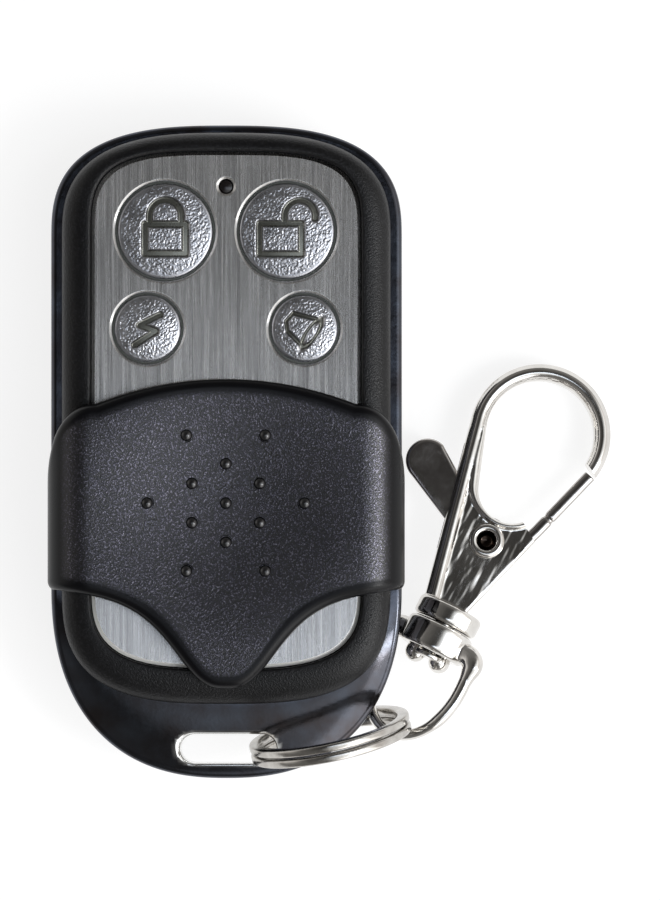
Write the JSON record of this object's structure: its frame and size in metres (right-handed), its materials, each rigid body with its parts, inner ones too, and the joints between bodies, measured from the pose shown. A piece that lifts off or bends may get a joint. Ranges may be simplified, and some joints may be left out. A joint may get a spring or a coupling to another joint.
{
  "type": "alarm key fob",
  "caption": "Radio alarm key fob with domed push buttons under a sliding cover, chrome frame with a ring slot, split ring and swivel snap hook.",
  "frame": {"origin": "middle of the case's length and width, in its flat rear face", "axes": "+Z out of the button face, +Y along the case away from the ring slot, +X to the hook's side"},
  "size_m": [0.0518, 0.06, 0.0151],
  "materials": {
    "chrome": "polished chrome plating",
    "grained_black": "fine spark-eroded grain",
    "cover_black": "fine spark-eroded grain",
    "brushed_plate": "brushed along its length",
    "button_metal": "stippled chrome plating",
    "zinc_steel": "zinc plated",
    "smoked_guide": "smoked clear plastic",
    "green_board": "solder mask",
    "switch_black": "moulded",
    "led_white": "clear resin",
    "chip_black": "moulded epoxy",
    "passive_tan": "ceramic",
    "cell_wrap": "shrink sleeve",
    "spring_steel": "drawn wire",
    "contact_nickel": "nickel plated",
    "ring_steel": "nickel plated spring steel",
    "hook_nickel": "nickel plated casting",
    "lever_steel": "nickel plated steel"
  },
  "bodies": {
    "fob": {"chrome_frame": "chrome", "front_shell": "grained_black", "rear_shell": "grained_black", "face_plate": "brushed_plate", "case_screws": "zinc_steel", "light_guide": "smoked_guide", "circuit_board": "green_board", "switch_bodies": "switch_black", "indicator_led": "led_white", "encoder_chip": "chip_black", "resonator": "zinc_steel", "transmit_transistor": "chip_black", "board_passives": "passive_tan", "battery": "cell_wrap", "battery_spring": "spring_steel", "spring_plate": "contact_nickel", "battery_contact": "contact_nickel"},
    "cover": {"slide_cover": "cover_black"},
    "lock": {"lock_button": "button_metal", "lock_plunger": "switch_black"},
    "unlock": {"unlock_button": "button_metal", "unlock_plunger": "switch_black"},
    "flash": {"flash_button": "button_metal", "flash_plunger": "switch_black"},
    "siren": {"siren_button": "button_metal", "siren_plunger": "switch_black"},
    "ring": {"split_ring": "ring_steel"},
    "eye": {"swivel_eye": "hook_nickel"},
    "hook": {"hook_body": "hook_nickel", "swivel_pin": "hook_nickel", "gate_rivet": "lever_steel", "gate_spring": "spring_steel"},
    "gate": {"gate_lever": "lever_steel"}
  },
  "joints": [
    {"name": "cover_slide", "type": "slide", "parent": "fob", "child": "cover", "axis": [0, 1, 0], "range_m": [0, 0.02]},
    {"name": "lock_press", "type": "slide", "parent": "fob", "child": "lock", "axis": [0, 0, -1], "range_m": [0, 0.0005], "stiffness_N_per_m": 2500, "springref_m": -0.0004},
    {"name": "unlock_press", "type": "slide", "parent": "fob", "child": "unlock", "axis": [0, 0, -1], "range_m": [0, 0.0005], "stiffness_N_per_m": 2500, "springref_m": -0.0004},
    {"name": "flash_press", "type": "slide", "parent": "fob", "child": "flash", "axis": [0, 0, -1], "range_m": [0, 0.0005], "stiffness_N_per_m": 2500, "springref_m": -0.0004},
    {"name": "siren_press", "type": "slide", "parent": "fob", "child": "siren", "axis": [0, 0, -1], "range_m": [0, 0.0005], "stiffness_N_per_m": 2500, "springref_m": -0.0004},
    {"name": "ring_swing", "type": "hinge", "parent": "fob", "child": "ring", "pos_m": [0.0029, -0.02725, 0.00583], "axis": [0, 0, 1], "range_deg": [-100, 0]},
    {"name": "eye_swing", "type": "hinge", "parent": "ring", "child": "eye", "pos_m": [0.0157, -0.02438, 0.00491], "axis": [0, 0, 1], "range_deg": [-70, 0]},
    {"name": "hook_swivel", "type": "hinge", "parent": "eye", "child": "hook", "pos_m": [0.0193, -0.01731, 0.00414], "axis": [0.4519, 0.8868, -0.0966], "continuous": true},
    {"name": "gate_pivot", "type": "hinge", "parent": "hook", "child": "gate", "pos_m": [0.02391, -0.00826, 0.00316], "axis": [0.0439, 0.0861, 0.9953], "range_deg": [0, 20], "stiffness_Nm_per_rad": 0.02, "springref_deg": -28.65}
  ]
}
